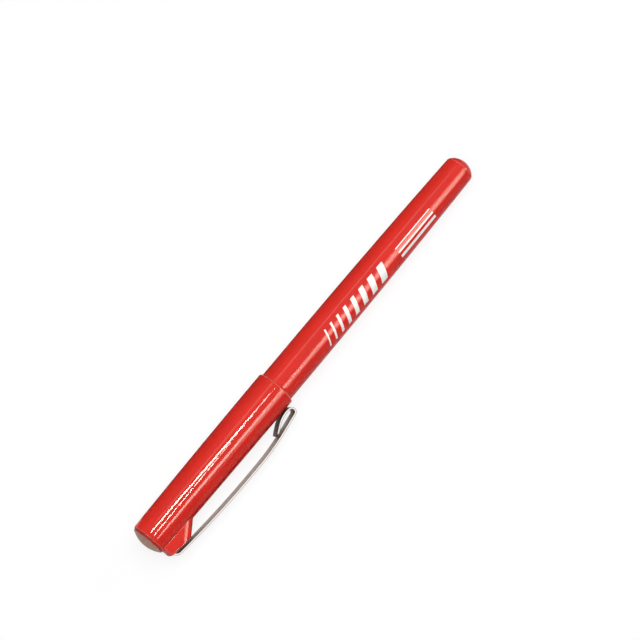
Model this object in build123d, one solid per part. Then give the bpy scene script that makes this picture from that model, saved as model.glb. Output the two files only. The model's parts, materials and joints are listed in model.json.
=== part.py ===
from build123d import *
import math
import os

# A capped fineliner pen, in millimetres, lying on a table. Each piece is drawn along the pen's own axis
# first: x = 0 is the plane of the cap's closed end, +x runs to the tail, and the clip stands on the -y side.

# Cap outside
cap_length = 54.1
cap_mouth_radius = 5.68
cap_end_radius = 5.22
cap_mouth_round = 0.4
cap_end_round = 0.25

# Clip boss, moulded on the cap
boss_width = 6.5
boss_base_length = 11.9
boss_top_length = 8.0
boss_rear_rise = 1.95
boss_front_rise = 2.9
boss_root_margin = 0.13
boss_setback = 0.1
boss_rear_bow = 0.5
boss_nose_round = 2.1
boss_edge_round = 0.4

# Plug and disc in the cap's end
plug_radius = 4.2
plug_depth = 3.4
plug_proud = 0.6
plug_head_setback = 0.25
plug_lip = 0.12
plug_groove_width = 0.08
plug_groove_depth = 0.2
cap_web = 1.0
disc_radius = 4.5
disc_thickness = 0.4
disc_pocket = 0.35
disc_dome = 1.25
disc_edge_round = 0.2

# Barrel and tail
mouth_gap = 0.2
neck_length = 11.0
neck_radius = 4.65
shoulder_radius = 5.05
shoulder_round = 0.15
land_length = 10.0
barrel_length = 80.1
tail_radius = 4.25
tail_round = 0.15
barrel_wall = 1.0
rib_count = 6
rib_thickness = 0.8
seam_gap = 0.12
seam_depth = 0.25
seam_step = 0.05
dome_height = 2.28
tail_spigot_length = 7.0

# Grip section, from the barrel forward
spigot_length = 12.0
collar_length = 1.0
collar_step = 0.2
grip_rear_radius = 4.3
grip_front_radius = 4.0
ring_pitch = 1.5
ring_width = 0.7
ring_depth = 0.25
ring_margin = 1.0
grip_cone_length = 3.0
seal_length = 4.0
seal_radius = 3.2
nozzle_length = 6.5
nozzle_radius = 1.7
nozzle_round = 0.25

# Nib and ink
sleeve_reach = 5.6
sleeve_slim_length = 4.4
sleeve_cone_length = 0.8
sleeve_slim_radius = 0.55
sleeve_radius = 1.0
sleeve_seat = 5.0
sleeve_lip = 0.5
nib_reach = 0.9
nib_tip_radius = 0.25
nib_radius = 0.4
nib_room = 4.0
feed_radius = 0.9
feed_depth = 8.0
film_thickness = 0.1

# Liner in the cap
liner_wall = 0.8
liner_flange = 0.8
liner_mouth_setback = 0.5
bead_height = 0.12
bead_width = 0.4

# Clip, a bent strip
clip_width = 4.6
clip_thickness = 0.56
tongue_place = 1.3
root_sink = 0.41
root_bend_radius = 1.7
root_slope = 5.5
crest_length = 3.3
tip_slope = 9.0
tip_run = 11.5
tip_setback = 1.1
hairpin_radius = 1.06
foot_radius = 8.0
foot_flare = 28.0
foot_end_length = 3.3
foot_corner_round = 1.3

# Clearances
press_clearance = 0.02
cap_clearance = 0.05
liner_clearance = 0.05
liner_end_clearance = 0.1
feed_clearance = 0.05
reservoir_clearance = 0.1
reservoir_end_clearance = 0.3
rib_clearance = 0.05
clip_rest_clearance = 0.12
slot_rear_clearance = 0.05
slot_front_clearance = 0.2
slot_side_clearance = 0.1
slot_floor_clearance = 0.1

# Places along the pen that several pieces share
shoulder_x = cap_length + mouth_gap
barrel_front_x = shoulder_x - neck_length
land_end_x = shoulder_x + land_length
tail_x = shoulder_x + barrel_length
neck_bore_radius = neck_radius - barrel_wall
land_bore_radius = shoulder_radius - barrel_wall
tail_bore_radius = tail_radius - barrel_wall
neck_bore_end_x = shoulder_x + barrel_wall
tail_bore_front_x = tail_x - tail_spigot_length

recess_depth = plug_depth + liner_end_clearance
liner_bore_end_x = recess_depth + cap_web
liner_end_x = liner_bore_end_x + liner_end_clearance
nib_tip_x = liner_end_x + liner_wall + nib_room
sleeve_front_x = nib_tip_x + nib_reach
nozzle_front_x = sleeve_front_x + sleeve_reach
sleeve_rear_x = nozzle_front_x + sleeve_seat
seal_front_x = nozzle_front_x + nozzle_length
seal_rear_x = seal_front_x + seal_length
grip_front_x = seal_rear_x + grip_cone_length
grip_rear_x = barrel_front_x - collar_length
spigot_end_x = barrel_front_x + spigot_length

liner_mouth_x = seal_rear_x - liner_mouth_setback
liner_bore_radius = seal_radius + liner_clearance
liner_radius = liner_bore_radius + liner_wall
cap_bore_radius = neck_radius + cap_clearance
liner_seat_x = liner_mouth_x - liner_flange - liner_end_clearance

film_radius = tail_bore_radius - reservoir_clearance
fibre_radius = film_radius - film_thickness
reservoir_front_x = spigot_end_x + reservoir_end_clearance
reservoir_rear_x = tail_bore_front_x - reservoir_end_clearance

boss_rear_height = cap_end_radius + boss_rear_rise
boss_front_height = cap_end_radius + boss_front_rise
slot_mouth_height = boss_rear_height + (boss_front_rise - boss_rear_rise) * tongue_place / boss_top_length
root_inner_radius = root_bend_radius - clip_thickness / 2
root_lean = root_inner_radius - math.sqrt(root_inner_radius**2 - root_sink**2)


def cap_radius(x):
    """Outside radius of the cap at x: a parabola that leaves the mouth parallel to the axis."""
    return cap_mouth_radius - (cap_mouth_radius - cap_end_radius) * (1 - x / cap_length) ** 2


# The strip's middle line: it rises from the boss's slot to a crest, and its foot comes down to the cap
root_angle = math.radians(root_slope)
tip_angle = math.radians(tip_slope)
bend_start_height = slot_mouth_height - root_sink
bow_start_x = tongue_place + root_bend_radius * (1 - math.sin(root_angle))
bow_start_height = bend_start_height + root_bend_radius * math.cos(root_angle)
hairpin_x = cap_length - tip_setback - clip_thickness / 2 - hairpin_radius * (1 - math.sin(tip_angle))
foot_x = hairpin_x - foot_radius * math.sin(tip_angle)
foot_height = cap_radius(foot_x) + clip_rest_clearance + clip_thickness / 2
hairpin_drop = 2 * hairpin_radius * math.cos(tip_angle) + foot_radius * (1 - math.cos(tip_angle))

# The bow's run takes up what the crest, the tip and the leg leave between the boss and the hairpin. What the bow
# climbs, the leg comes down again.
bow_climb = math.tan(root_angle / 2)
level_drop = bow_start_height - tip_run * math.tan(tip_angle / 2) - hairpin_drop - foot_height
level_run = hairpin_x - bow_start_x - crest_length - tip_run - level_drop / math.tan(tip_angle)
root_run = level_run / (1 + bow_climb / math.tan(tip_angle))
leg_drop = level_drop + root_run * bow_climb
crest_height = bow_start_height + root_run * bow_climb
crest_start_x = bow_start_x + root_run
crest_end_x = crest_start_x + crest_length


def crowned(straight_end, narrow_end):
    """Taper that leaves straight_end parallel to the axis and curves gently in to narrow_end."""
    middle_x = (straight_end[0] + narrow_end[0]) / 2
    return Bezier(straight_end, (middle_x, straight_end[1]), narrow_end)


def turned(*outline):
    """Solid of revolution about the pen's axis from the edges of a closed outline of (x, radius)."""
    edges = [edge for line in outline for edge in line.edges()]
    return revolve(make_face(edges), Axis.X)


def turned_points(*points):
    return turned(Polyline(*points, close=True))


def tube(x_from, x_to, outer, inner):
    return turned_points((x_from, inner), (x_to, inner), (x_to, outer), (x_from, outer))


def rod(x_from, x_to, radius):
    return tube(x_from, x_to, radius, 0)


def domed(base_x, base_radius, height):
    """Shallow spherical cap on a flat base at base_x. A negative height makes it face the cap's end."""
    sphere_radius = (base_radius**2 + height**2) / (2 * height)
    centre_x = base_x + height - sphere_radius
    half_angle = math.asin(base_radius / sphere_radius) / 2
    middle = (centre_x + sphere_radius * math.cos(half_angle), sphere_radius * math.sin(half_angle))
    apex = (base_x + height, 0)
    return turned(
        ThreePointArc((base_x, base_radius), middle, apex),
        Polyline(apex, (base_x, 0), (base_x, base_radius)),
    )


def round_rim(solid, radius, x, rim_radius):
    """Rounds the circular edge of rim_radius at x."""
    rim = solid.edges().sort_by_distance((x, 0, rim_radius))[0]
    return fillet(rim, radius)


def barrel_outside():
    return turned(
        Polyline((tail_x, tail_radius), (tail_x, 0), (barrel_front_x, 0), (barrel_front_x, neck_radius),
                 (shoulder_x, neck_radius), (shoulder_x, shoulder_radius), (land_end_x, shoulder_radius)),
        crowned((land_end_x, shoulder_radius), (tail_x, tail_radius)),
    )


def barrel_bore():
    return turned(
        Polyline((tail_bore_front_x, tail_bore_radius), (tail_x, tail_bore_radius), (tail_x, 0),
                 (barrel_front_x, 0), (barrel_front_x, neck_bore_radius),
                 (neck_bore_end_x, neck_bore_radius), (neck_bore_end_x, land_bore_radius),
                 (land_end_x, land_bore_radius)),
        crowned((land_end_x, land_bore_radius), (tail_bore_front_x, tail_bore_radius)),
    )


def make_barrel():
    """Tapered tube with a neck that the cap slides on and ribs that centre the reservoir."""
    outside = barrel_outside()
    outside = round_rim(outside, shoulder_round, shoulder_x, shoulder_radius)
    outside = round_rim(outside, tail_round, tail_x, tail_radius)
    rib_inner = film_radius + rib_clearance
    rib_outer = land_bore_radius + barrel_wall / 2
    rib_length = tail_bore_front_x - neck_bore_end_x
    barrel = outside - barrel_bore()
    for rib in range(rib_count):
        bar = Box(rib_length, rib_outer - rib_inner, rib_thickness)
        bar = Pos(neck_bore_end_x + rib_length / 2, (rib_outer + rib_inner) / 2, 0) * bar
        barrel += (Rot(rib * 360 / rib_count, 0, 0) * bar) & outside
    return barrel


def make_tail_plug():
    """Domed plug with a spigot in the barrel and a thin seam groove under the dome."""
    base_radius = tail_radius - seam_step
    base_x = tail_x + seam_gap
    dome = domed(base_x, base_radius, dome_height)
    neck = rod(tail_x, base_x, base_radius - seam_depth)
    return dome + neck + rod(tail_bore_front_x, tail_x, tail_bore_radius - press_clearance)


def make_grip_section():
    """Moulded front: nozzle, sealing land, ringed grip, collar and the spigot in the barrel."""
    collar_radius = neck_radius - collar_step
    spigot_radius = neck_bore_radius - press_clearance
    section = turned_points(
        (nozzle_front_x, 0), (nozzle_front_x, nozzle_radius), (seal_front_x, seal_radius),
        (seal_rear_x, seal_radius), (grip_front_x, grip_front_radius), (grip_rear_x, grip_rear_radius),
        (grip_rear_x, collar_radius), (barrel_front_x, collar_radius),
        (barrel_front_x, spigot_radius), (spigot_end_x, spigot_radius), (spigot_end_x, 0),
    )
    section = round_rim(section, nozzle_round, nozzle_front_x, nozzle_radius)
    ring_count = int((grip_rear_x - grip_front_x - 2 * ring_margin) / ring_pitch)
    for ring in range(ring_count):
        ring_x = grip_rear_x - ring_margin - ring * ring_pitch
        along = (grip_rear_x - ring_x) / (grip_rear_x - grip_front_x)
        grip_radius = grip_rear_radius + (grip_front_radius - grip_rear_radius) * along
        section -= tube(ring_x - ring_width, ring_x, cap_bore_radius, grip_radius - ring_depth)
    section -= rod(nozzle_front_x, sleeve_rear_x, sleeve_radius + press_clearance)
    return section - rod(sleeve_rear_x, spigot_end_x, feed_radius + feed_clearance)


def make_nib_sleeve():
    """Thin metal tube, slim in front and thicker where the nozzle holds it."""
    cone_x = sleeve_front_x + sleeve_slim_length
    lip_x = sleeve_front_x + sleeve_lip
    tip_bore = nib_tip_radius + press_clearance
    nib_bore = nib_radius + press_clearance
    return turned_points(
        (sleeve_front_x, tip_bore), (sleeve_front_x, sleeve_slim_radius), (cone_x, sleeve_slim_radius),
        (cone_x + sleeve_cone_length, sleeve_radius), (sleeve_rear_x, sleeve_radius),
        (sleeve_rear_x, nib_bore), (lip_x, nib_bore), (lip_x, tip_bore),
    )


def make_nib():
    """Plastic writing point with a rounded end, held behind the sleeve's lip."""
    step_x = sleeve_front_x + sleeve_lip + press_clearance
    tip = rod(nib_tip_x + nib_tip_radius, step_x, nib_tip_radius) + rod(step_x, sleeve_rear_x, nib_radius)
    return tip + Pos(nib_tip_x + nib_tip_radius, 0, 0) * Sphere(nib_tip_radius)


def make_feed_rod():
    return rod(sleeve_rear_x + press_clearance, reservoir_front_x + feed_depth, feed_radius)


def make_reservoir():
    """Fibre bundle with the blind hole that the feed rod fills."""
    bundle = rod(reservoir_front_x, reservoir_rear_x, fibre_radius - press_clearance)
    hole_end_x = reservoir_front_x + feed_depth + press_clearance
    return bundle - rod(reservoir_front_x, hole_end_x, feed_radius + press_clearance)


def make_reservoir_film():
    return tube(reservoir_front_x, reservoir_rear_x, film_radius, fibre_radius)


def make_boss():
    """Fin that carries the clip: bowed behind, near the cap's end, and sloped and round-nosed in front."""
    half_width = boss_width / 2
    foot_height = math.sqrt(cap_end_radius**2 - half_width**2) - boss_root_margin
    base_height = cap_radius(boss_base_length)
    front_slope = (boss_base_length - boss_top_length) / (boss_front_height - base_height)
    foot_x = boss_base_length + (base_height - foot_height) * front_slope
    side = make_face(Polyline(
        (0, -foot_height), (0, -boss_rear_height), (boss_top_length, -boss_front_height),
        (foot_x, -foot_height), close=True,
    ))
    corner_x = boss_setback + boss_rear_bow
    plan = make_face(
        ThreePointArc((corner_x, -half_width), (boss_setback, 0), (corner_x, half_width)).edges()
        + Polyline((corner_x, half_width), (foot_x, half_width), (foot_x, -half_width),
                   (corner_x, -half_width)).edges()
    )
    boss = extrude(side, half_width, both=True) & (Rot(90, 0, 0) * extrude(plan, boss_front_height))
    nose_x = (boss_top_length + foot_x) / 2
    nose_y = -(boss_front_height + foot_height) / 2
    for side_z in (half_width, -half_width):
        nose = boss.edges().sort_by_distance((nose_x, nose_y, side_z))[0]
        boss = fillet(nose, boss_nose_round)
    top_y = -(boss_rear_height + boss_front_height) / 2
    top = boss.faces().sort_by_distance((boss_top_length / 2, top_y, 0))[0]
    return fillet(top.edges(), boss_edge_round)


def make_cap_shell():
    """Tapered cap with the clip boss, a bore for the pen, a liner seat and a recess for the end plug."""
    shell = turned(
        Polyline((0, cap_end_radius), (0, 0), (cap_length, 0), (cap_length, cap_mouth_radius)),
        crowned((cap_length, cap_mouth_radius), (0, cap_end_radius)),
    )
    shell = round_rim(shell, cap_mouth_round, cap_length, cap_mouth_radius)
    shell = round_rim(shell, cap_end_round, 0, cap_end_radius)
    shell += make_boss()
    shell -= rod(0, recess_depth, plug_radius)
    shell -= rod(liner_bore_end_x, liner_seat_x, liner_radius + liner_clearance)
    shell -= rod(liner_seat_x, cap_length, cap_bore_radius)
    bead_x = liner_mouth_x + liner_end_clearance
    shell += turned_points(
        (bead_x, cap_bore_radius + bead_height), (bead_x, cap_bore_radius - bead_height),
        (bead_x + bead_width, cap_bore_radius), (bead_x + bead_width, cap_bore_radius + bead_height),
    )
    slot_rear_x = tongue_place - clip_thickness / 2 - slot_rear_clearance
    slot_front_x = tongue_place + clip_thickness / 2 + root_lean + slot_front_clearance
    slot_depth = boss_front_height - cap_end_radius
    slot = Box(slot_front_x - slot_rear_x, slot_depth, clip_width + 2 * slot_side_clearance)
    return shell - Pos((slot_rear_x + slot_front_x) / 2, -(cap_end_radius + slot_depth / 2), 0) * slot


def make_inner_cap():
    """Liner cup that seals on the section's land, its flange held between the cap's seat and its bead."""
    cup = rod(liner_end_x, liner_mouth_x, liner_radius)
    cup = round_rim(cup, liner_wall / 2, liner_end_x, liner_radius)
    cup += rod(liner_mouth_x - liner_flange, liner_mouth_x, cap_bore_radius - liner_clearance)
    return cup - rod(liner_end_x + liner_wall, liner_mouth_x, liner_bore_radius)


def make_cap_end_plug():
    """Plug in the cap's end: spigot, groove, coned head and the disc's pocket."""
    head_radius = cap_end_radius - plug_head_setback
    pocket_radius = disc_radius + press_clearance
    plug = turned_points(
        (-plug_proud, 0), (-plug_proud, pocket_radius + plug_lip), (-plug_groove_width, head_radius),
        (-plug_groove_width, 0),
    )
    plug += rod(-plug_groove_width, 0, head_radius - plug_groove_depth)
    plug += rod(0, plug_depth, plug_radius - press_clearance)
    return plug - rod(-plug_proud, disc_pocket - plug_proud, pocket_radius)


def make_cap_end_disc():
    """Domed metal disc let into the plug's face."""
    disc_x = disc_pocket - plug_proud - disc_thickness
    disc = rod(disc_x, disc_x + disc_thickness, disc_radius) + domed(disc_x, disc_radius, -disc_dome)
    return round_rim(disc, disc_edge_round, disc_x, disc_radius)


def clip_side(offset):
    """Edges along the strip from the tongue to the foot's end, offset outward from its middle line."""
    tongue_x = tongue_place - offset
    tongue = Line((tongue_x, -cap_end_radius - slot_floor_clearance), (tongue_x, -bend_start_height))
    bend = JernArc(tongue @ 1, tongue % 1, root_bend_radius + offset, 90 - root_slope)
    bow = JernArc(bend @ 1, bend % 1, root_run / math.sin(root_angle) + offset, root_slope)
    crest = Line(bow @ 1, bow @ 1 + (bow % 1) * crest_length)
    fall = JernArc(crest @ 1, crest % 1, tip_run / math.sin(tip_angle) + offset, tip_slope)
    leg = Line(fall @ 1, fall @ 1 + (fall % 1) * (leg_drop / math.sin(tip_angle)))
    hairpin = JernArc(leg @ 1, leg % 1, hairpin_radius + offset, 180 - 2 * tip_slope)
    foot = JernArc(hairpin @ 1, hairpin % 1, foot_radius + offset, tip_slope + foot_flare)
    end = Line(foot @ 1, foot @ 1 + (foot % 1) * foot_end_length)
    return [tongue, bend, bow, crest, fall, leg, hairpin, foot, end]


def make_clip():
    """Bent strip: tongue in the boss, root bend, bow, crest, tip, hairpin and the round-ended foot."""
    outer = clip_side(clip_thickness / 2)
    inner = clip_side(-clip_thickness / 2)
    tongue_end = Line(outer[0] @ 0, inner[0] @ 0)
    free_end = Line(outer[-1] @ 1, inner[-1] @ 1)
    outline = [edge for line in [*outer, *inner, tongue_end, free_end] for edge in line.edges()]
    strip = extrude(make_face(outline), clip_width / 2, both=True)
    middle = free_end @ 0.5
    for side_z in (clip_width / 2, -clip_width / 2):
        corner = strip.edges().sort_by_distance((middle.X, middle.Y, side_z))[0]
        strip = fillet(corner, foot_corner_round)
    return strip


pieces = {
    "barrel": make_barrel(),
    "tail_plug": make_tail_plug(),
    "grip_section": make_grip_section(),
    "nib_sleeve": make_nib_sleeve(),
    "nib": make_nib(),
    "ink_feed_rod": make_feed_rod(),
    "ink_reservoir": make_reservoir(),
    "reservoir_film": make_reservoir_film(),
    "cap_shell": make_cap_shell(),
    "inner_cap": make_inner_cap(),
    "cap_end_plug": make_cap_end_plug(),
    "cap_end_disc": make_cap_end_disc(),
    "clip": make_clip(),
}

# The pen lies on the cap's mouth, the tail's rim and the lower edge of the clip's crest
axis_fall = (cap_mouth_radius - tail_radius) / (tail_x - cap_length)
crest_outside = crest_height + clip_thickness / 2
crest_axis_height = cap_mouth_radius + axis_fall * (cap_length - crest_end_x)
pitch = math.degrees(math.atan(axis_fall))
edge_angle = math.atan2(clip_width / 2, crest_outside)
edge_reach = math.hypot(crest_outside, clip_width / 2)
roll = 90 - math.degrees(math.acos(crest_axis_height / edge_reach) + edge_angle)
lying = Rot(0, pitch, 0) * Rot(roll, 0, 0)
lying_box = Compound(children=[lying * piece for piece in pieces.values()]).bounding_box()
set_down = Pos(-lying_box.center().X, -lying_box.center().Y, -lying_box.min.Z)
placement = set_down * lying

os.makedirs("parts", exist_ok=True)
for name, piece in pieces.items():
    export_step(placement * piece, f"parts/{name}.step")
print("pitch", round(pitch, 4), "roll", round(roll, 4), "set down", set_down.position)
print("crest", round(crest_start_x, 2), round(crest_end_x, 2), "height", round(crest_height, 3))
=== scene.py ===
import json
import math

import bmesh
import bpy
from mathutils import Matrix, Vector

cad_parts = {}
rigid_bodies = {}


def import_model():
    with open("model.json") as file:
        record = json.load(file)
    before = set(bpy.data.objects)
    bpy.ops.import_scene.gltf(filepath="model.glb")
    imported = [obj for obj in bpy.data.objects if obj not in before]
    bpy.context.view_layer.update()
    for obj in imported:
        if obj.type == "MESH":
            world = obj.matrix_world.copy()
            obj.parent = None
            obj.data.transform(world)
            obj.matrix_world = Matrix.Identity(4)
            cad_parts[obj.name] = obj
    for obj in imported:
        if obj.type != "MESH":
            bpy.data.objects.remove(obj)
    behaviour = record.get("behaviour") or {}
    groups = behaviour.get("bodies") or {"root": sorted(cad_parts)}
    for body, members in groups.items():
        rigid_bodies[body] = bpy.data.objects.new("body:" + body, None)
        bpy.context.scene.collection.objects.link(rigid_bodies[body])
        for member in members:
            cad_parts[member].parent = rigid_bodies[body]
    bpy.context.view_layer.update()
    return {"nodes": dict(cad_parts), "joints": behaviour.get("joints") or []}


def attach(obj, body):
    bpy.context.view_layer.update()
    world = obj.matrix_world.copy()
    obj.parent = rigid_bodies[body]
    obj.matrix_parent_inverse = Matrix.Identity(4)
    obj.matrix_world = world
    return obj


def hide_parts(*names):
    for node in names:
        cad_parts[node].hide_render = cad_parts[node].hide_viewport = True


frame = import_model()

# A capped fineliner pen on a pale floor. Pieces are drawn in the pen's own frame, in millimetres: x = 0 is
# the plane of the cap's closed end, +x runs to the tail, and the clip stands on the -y side.
MM = 0.001
TURN_STEPS = 160
CAP_STEPS = 44
TAPER_STEPS = 48
BEND_STEPS = 5
MEET_ROUNDS = 30
AXIS_TOLERANCE = 1e-6
SHARP_ANGLE = math.radians(40)

# Degrees that an outline turns at a point: its painted highlight begins at the first, and there is none from
# the second on
HIGHLIGHT_TURN = 9.5
HIGHLIGHT_TURN_LIMIT = 60

# Sizes shared with the solids
cap_length = 54.1
cap_mouth_radius = 5.68
cap_end_radius = 5.22
cap_mouth_round = 0.4
cap_end_round = 0.25
cap_bore_radius = 4.7
recess_depth = 3.5
cap_web = 1.0
plug_radius = 4.2

boss_width = 6.5
boss_base_length = 11.9
boss_top_length = 8.0
boss_rear_height = 7.17
boss_front_height = 8.12
boss_setback = 0.1
boss_rear_bow = 0.5
boss_nose_round = 2.1
boss_edge_round = 0.4

plug_depth = 3.4
plug_proud = 0.6
plug_head_radius = 4.97
plug_lip = 0.12
plug_groove_width = 0.08
plug_groove_depth = 0.2
disc_radius = 4.5
disc_thickness = 0.4
disc_pocket = 0.35
disc_dome = 1.25
disc_edge_round = 0.2

shoulder_x = 54.3
shoulder_radius = 5.05
shoulder_round = 0.15
neck_front_x = 43.3
neck_radius = 4.65
land_end_x = 64.3
tail_x = 134.4
tail_radius = 4.25
tail_round = 0.15
barrel_wall = 1.0
seam_gap = 0.12
seam_depth = 0.25
seam_step = 0.05
dome_height = 2.28
tail_spigot_length = 7.0

nib_tip_x = 9.4
nib_tip_radius = 0.25
nib_radius = 0.4
sleeve_front_x = 10.3
sleeve_slim_length = 4.4
sleeve_cone_length = 0.8
sleeve_slim_radius = 0.55
sleeve_radius = 1.0
sleeve_lip = 0.5
sleeve_rear_x = 20.9
nozzle_front_x = 15.9
nozzle_radius = 1.7
nozzle_round = 0.25
seal_front_x = 22.4
seal_rear_x = 26.4
seal_radius = 3.2
grip_front_x = 29.4
grip_front_radius = 4.0
grip_rear_x = 42.3
grip_rear_radius = 4.3
collar_radius = 4.45
spigot_end_x = 55.3
ring_count = 7
ring_pitch = 1.5
ring_width = 0.7
ring_depth = 0.25
ring_margin = 1.0
feed_bore_radius = 0.95

liner_end_x = 4.6
liner_mouth_x = 25.9
liner_bore_radius = 3.25
liner_wall = 0.8
liner_flange = 0.8
liner_seat_x = 25.0
bead_x = 26.0
bead_width = 0.4
bead_height = 0.12

press_clearance = 0.02
liner_clearance = 0.05

clip_width = 4.6
clip_thickness = 0.56
clip_rest_clearance = 0.12
tongue_place = 1.3
tongue_foot_height = 5.32
root_sink = 0.41
root_bend_radius = 1.7
root_slope = 5.5
crest_length = 3.3
tip_slope = 9.0
tip_run = 11.5
tip_setback = 1.1
hairpin_radius = 1.06
foot_radius = 8.0
foot_flare = 28.0
foot_end_length = 3.3
foot_corner_round = 1.3
slot_front_x = 1.84
slot_rear_x = 0.97
slot_half_width = 2.39

# Sizes of the scene alone: the boss's root, corners and plan heights, its slot's cutter, and fine edges
boss_corner_round = 0.45
boss_root_round = 0.16
boss_root_least = 0.01
boss_root_depth = 0.45
boss_shore_depth = 0.004
boss_low_height = 5.0
boss_high_height = 8.0
cutter_start = 0.1
cutter_length = 8.2
clip_edge_round = 0.085
bore_mouth_round = 0.12
bore_relief = 0.05
spigot_round = 0.1
plug_rim_round = 0.03
plug_lip_round = 0.05
neck_round = 0.2
dome_rim_round = 0.1
grip_front_round = 0.3
ring_edge_round = 0.08
ring_floor_round = 0.06
seal_round = 0.15
collar_front_round = 0.06
collar_rear_round = 0.1
sleeve_tip_round = 0.15
sleeve_cone_round = 0.3
flange_round = 0.1
liner_rim_round = 0.15
liner_mouth_round = 0.2
liner_floor_round = 0.3

# Print on the barrel: turns about its axis are in degrees
print_lift = 0.012
print_root = 0.02
strokes_x = 72.0
stroke_weights = (0.5, 0.7, 0.9, 1.2, 1.5, 1.8, 2.1, 2.4)
stroke_gap = 2.0
stroke_turns = (44, -12)
stroke_lean = 1.8
rules_x = 104.0
rule_length = 15.0
rule_weights = (0.3, 0.55, 0.9)
rule_turns = (-3, 14, 33)

# How much painted shade the clip's two faces get, from 0 to 1, by the number of its stretches from the
# tongue on:
# root bend 1, bow 2, crest 3, tip 4, leg 5, hairpin 6, foot 7, end 8
INNER_PAINTED_SHADE = ((2, 1), (2.12, 0.9), (2.35, 0.52), (4.8, 0.5), (5.2, 0.3), (5.7, 0.35), (6.1, 0.8),
                  (6.9, 0.95), (9, 0.7))
OUTER_PAINTED_SHADE = ((6.2, 0.1), (6.9, 0.9), (9, 1))

# The same painted shade, as dark outlines along the edges, for the corners of the inner face and of the
# outer one
CORNER_PAINTED_SHADE = (0.62, 1)

# Camera, at the photograph's viewing angle
CAMERA_AZIMUTH = -44.146
CAMERA_ELEVATION = 74.324
CAMERA_ROLL = -7.155
CAMERA_DISTANCE = 0.9
CAMERA_LENS = 184.7
CAMERA_NEAR = 0.01
AIM_RIGHT = 0.002915
AIM_UP = 0.011009


def pen_place():
    """Pen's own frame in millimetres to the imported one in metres, from the cap's and the clip's joints."""
    joints = {joint["name"]: joint for joint in frame["joints"]}
    along = -Vector(joints["cap_turn"]["axis"]).normalized()
    up = -Vector(joints["clip_flex"]["axis"]).normalized()
    origin = Vector(joints["cap_turn"]["pos_m"]) - along * cap_length / 2 * MM
    turned = Matrix((along, up.cross(along), up)).transposed().to_4x4()
    return Matrix.Translation(origin) @ turned @ Matrix.Scale(MM, 4)


PEN = pen_place()


# Outlines and meshes
def spread(first, last, steps):
    return [first + (last - first) * step / steps for step in range(steps + 1)]


def crowned(x, straight_x, straight_radius, narrow_x, narrow_radius):
    """Radius at x of a parabola that leaves straight_x parallel to the axis."""
    share = (x - straight_x) / (narrow_x - straight_x)
    return straight_radius + (narrow_radius - straight_radius) * share ** 2


def cap_radius(x):
    return crowned(x, cap_length, cap_mouth_radius, 0, cap_end_radius)


def barrel_radius(x):
    return crowned(max(x, land_end_x), land_end_x, shoulder_radius, tail_x, tail_radius)


def rounded(corners, steps=5):
    """Closed outline through corners of (x, y, rounding), with an arc in place of each rounded corner."""
    outline = []
    for index, (x, y, rounding) in enumerate(corners):
        corner = Vector((x, y))
        if rounding == 0:
            outline.append(corner)
            continue
        back = (Vector(corners[index - 1][:2]) - corner).normalized()
        onward = (Vector(corners[(index + 1) % len(corners)][:2]) - corner).normalized()
        half = back.angle(onward) / 2
        centre = corner + (back + onward).normalized() * rounding / math.sin(half)
        start = corner + back * rounding / math.tan(half) - centre
        end = corner + onward * rounding / math.tan(half) - centre
        sweep = math.pi - 2 * half
        for share in spread(0, 1, steps):
            blend = start * math.sin((1 - share) * sweep) + end * math.sin(share * sweep)
            outline.append(centre + blend / math.sin(sweep))
    return outline


def dome(base_x, base_radius, height, steps=14):
    """Outline points of a shallow spherical dome, from just inside its rim to its apex."""
    sphere_radius = (base_radius ** 2 + height ** 2) / (2 * height)
    centre_x = base_x + height - sphere_radius
    rim_angle = math.asin(base_radius / abs(sphere_radius))
    angles = spread(rim_angle, 0, steps)[1:]
    return [(centre_x + sphere_radius * math.cos(a), abs(sphere_radius) * math.sin(a), 0) for a in angles]


def join_rings(build, ring, following, closed=True):
    """Faces between two rows of points. A row of one point makes a fan."""
    if len(ring) == 1 and len(following) == 1:
        return
    longest = max(len(ring), len(following))
    for index in range(longest if closed else longest - 1):
        onward = (index + 1) % longest
        if len(ring) == 1:
            build.faces.new((ring[0], following[onward], following[index]))
        elif len(following) == 1:
            build.faces.new((ring[index], ring[onward], following[0]))
        else:
            build.faces.new((ring[index], ring[onward], following[onward], following[index]))


def finished_mesh(name, build):
    bmesh.ops.recalc_face_normals(build, faces=build.faces)
    mesh = bpy.data.meshes.new(name)
    build.to_mesh(mesh)
    build.free()
    return mesh


def edge_highlights(outline):
    """Painted highlight from 0 to 1 at each point of a closed outline, on outer corners that turn in small
    steps.
    """
    onward = outline[1:] + outline[:1]
    area = sum(point.cross(following) for point, following in zip(outline, onward))
    painted_highlight = []
    for index, (point, following) in enumerate(zip(outline, onward)):
        before, after = point - outline[index - 1], following - point
        turn = math.degrees(before.angle(after, 0))
        outer = before.cross(after) * area > 0 and turn < HIGHLIGHT_TURN_LIMIT
        painted_highlight.append(min(1, max(0, turn / HIGHLIGHT_TURN - 1)) if outer else 0)
    return painted_highlight


def lathe(name, corners):
    """Closed mesh turned about the pen's axis from a closed outline of (x, radius, rounding) corners."""
    build = bmesh.new()
    # Each point holds how much painted highlight its outline's edge gets
    highlit = build.verts.layers.float.new("painted_highlight")
    angles = [2 * math.pi * step / TURN_STEPS for step in range(TURN_STEPS)]
    outline = rounded(corners)
    rings = []
    for (x, radius), painted_highlight in zip(outline, edge_highlights(outline)):
        if radius < AXIS_TOLERANCE:
            ring = [build.verts.new((x, 0, 0))]
        else:
            ring = [build.verts.new((x, radius * math.cos(a), radius * math.sin(a))) for a in angles]
        for point in ring:
            point[highlit] = painted_highlight
        rings.append(ring)
    for ring, following in zip(rings, rings[1:] + rings[:1]):
        join_rings(build, ring, following)
    return finished_mesh(name, build)


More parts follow.
